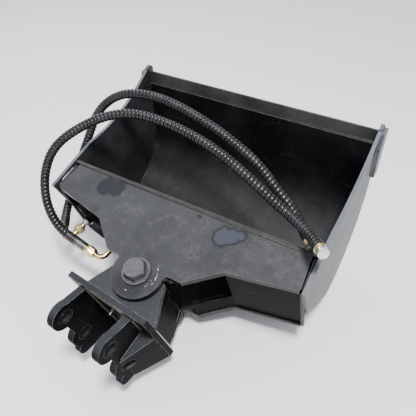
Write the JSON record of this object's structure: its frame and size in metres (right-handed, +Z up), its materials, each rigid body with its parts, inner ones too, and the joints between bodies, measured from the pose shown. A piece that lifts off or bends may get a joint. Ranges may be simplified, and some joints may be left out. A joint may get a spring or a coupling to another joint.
{
  "type": "tilting excavator bucket",
  "caption": "Wide grading bucket with a bolt-on pivot hitch that a hydraulic cylinder tilts sideways, with its two hoses, for a small excavator.",
  "frame": {"origin": "middle of the footprint of everything but the hoses, on the ground the bucket lies on", "axes": "+Z up from the ground, +Y from the hitch towards the cutting edge, X along the bucket's width with the tilt cylinder on the -X side"},
  "size_m": [0.8786, 0.8595, 0.541],
  "materials": {
    "black_paint": "satin black paint, dusty",
    "housing_paint": "satin black paint with dust and dried stains",
    "hitch_paint": "satin black paint, dusty",
    "edge_steel": "worn black paint on a hard steel edge",
    "bolt_steel": "zinc plated",
    "chrome_rod": "polished",
    "bronze": "machined bronze",
    "gland_paint": "satin black paint",
    "seal_rubber": "matt",
    "zinc_fitting": "zinc plated",
    "brass_fitting": "yellow passivated, dull shine",
    "hose_rubber": "black spiral guard, semi gloss",
    "cap_metal": "bright zinc plated"
  },
  "bodies": {
    "bucket": {"shell": "black_paint", "cutting_edge": "edge_steel", "side_plate_right": "black_paint", "side_plate_left": "black_paint", "side_strip_right": "black_paint", "side_strip_left": "black_paint", "housing_front_plate": "housing_paint", "housing_rear_plate": "housing_paint", "stop_ribs": "black_paint", "closing_plate": "black_paint", "end_fillers": "black_paint", "base_lugs": "black_paint", "base_pin": "bolt_steel", "base_pin_clip": "bolt_steel", "pivot_bolt": "bolt_steel", "pivot_washers": "bolt_steel", "pivot_nut": "bolt_steel", "thrust_washers": "bronze", "hose_a": "hose_rubber", "hose_b": "hose_rubber", "end_ferrule_a": "brass_fitting", "end_ferrule_b": "brass_fitting", "end_cap_a": "cap_metal", "end_cap_b": "cap_metal"},
    "hitch": {"hitch_top_plate": "hitch_paint", "hitch_bottom_plate": "hitch_paint", "hub_tube": "hitch_paint", "hub_bushes": "bronze", "hitch_base_plate": "hitch_paint", "cheeks_upper": "hitch_paint", "cheeks_lower": "hitch_paint", "ear_right": "hitch_paint", "ear_left": "hitch_paint", "pin_bushes_upper": "hitch_paint", "pin_bushes_lower": "hitch_paint", "gussets": "hitch_paint", "grease_nipple": "zinc_fitting", "rod_lugs": "hitch_paint", "rod_pin": "bolt_steel", "rod_pin_clip": "bolt_steel"},
    "cylinder_barrel": {"cylinder_base_eye": "black_paint", "base_eye_bush": "bronze", "cylinder_barrel_tube": "black_paint", "cylinder_gland": "gland_paint", "rod_wiper": "seal_rubber", "adapter_a": "zinc_fitting", "adapter_b": "zinc_fitting", "swivel_nut_a": "brass_fitting", "swivel_nut_b": "brass_fitting", "elbow_a": "brass_fitting", "elbow_b": "brass_fitting", "ferrule_a": "zinc_fitting", "ferrule_b": "brass_fitting"},
    "cylinder_rod": {"piston": "bolt_steel", "piston_rod": "chrome_rod", "piston_nut": "bolt_steel", "rod_eye": "bolt_steel"}
  },
  "joints": [
    {"name": "tilt", "type": "hinge", "parent": "bucket", "child": "hitch", "pos_m": [0, -0.20226, 0.28694], "axis": [0, -0.2983, 0.9545], "range_deg": [-25.6, 34.4]},
    {"name": "cylinder_swing", "type": "hinge", "parent": "bucket", "child": "cylinder_barrel", "pos_m": [-0.358, -0.01959, 0.21202], "axis": [0, -0.2983, 0.9545], "range_deg": [-1.39, 1.04]},
    {"name": "rod_stroke", "type": "slide", "parent": "cylinder_barrel", "child": "cylinder_rod", "axis": [0.9834, -0.1732, -0.0541], "range_m": [-0.0476, 0.0354]}
  ],
  "couplings": [
    {"joint": "cylinder_swing", "follows": "tilt", "ratio": -0.04},
    {"joint": "rod_stroke", "follows": "tilt", "m_per_rad": -0.079}
  ]
}
